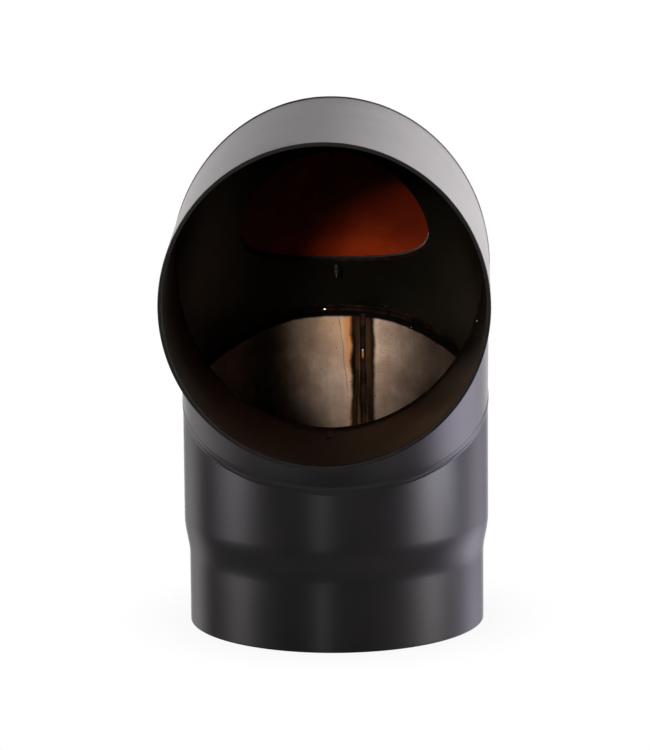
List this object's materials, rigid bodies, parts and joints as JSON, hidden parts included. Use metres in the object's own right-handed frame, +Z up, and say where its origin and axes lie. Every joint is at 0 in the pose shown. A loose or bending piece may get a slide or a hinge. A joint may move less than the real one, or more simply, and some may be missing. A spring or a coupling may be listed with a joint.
{
  "type": "flue elbow",
  "caption": "Right-angled welded sheet-steel flue elbow with a swaged spigot, a plain socket and a screwed cleaning hatch on its heel.",
  "frame": {"origin": "centre of the spigot's open end", "axes": "+Z up the spigot leg's centreline, -Y out of the socket's mouth, X across the elbow, the socket's centreline at the same distance above the origin as its mouth is in front of it"},
  "size_m": [0.1556, 0.2748, 0.2748],
  "materials": {
    "black_paint": "matte",
    "weld": "satin",
    "gasket_fibre": "matte",
    "hatch_steel": "matte",
    "zinc_plate": "satin"
  },
  "bodies": {
    "elbow": {"lower_leg": "black_paint", "mid_segment": "black_paint", "upper_leg": "black_paint", "lower_mitre_weld": "weld", "upper_mitre_weld": "weld", "lower_leg_seam": "weld", "mid_segment_seam": "weld", "upper_leg_seam": "weld"},
    "hatch": {"hatch_cover": "hatch_steel", "hatch_gasket": "gasket_fibre"},
    "lower_screw": {"lower_screw": "zinc_plate"},
    "upper_screw": {"upper_screw": "zinc_plate"}
  },
  "joints": [
    {"name": "hatch_lift", "type": "slide", "parent": "elbow", "child": "hatch", "axis": [0, 0.7071, 0.7071], "range_m": [0, 0.08]},
    {"name": "lower_screw_out", "type": "slide", "parent": "hatch", "child": "lower_screw", "axis": [0, 0.7071, 0.7071], "range_m": [0, 0.02]},
    {"name": "upper_screw_out", "type": "slide", "parent": "hatch", "child": "upper_screw", "axis": [0, 0.7071, 0.7071], "range_m": [0, 0.02]}
  ]
}
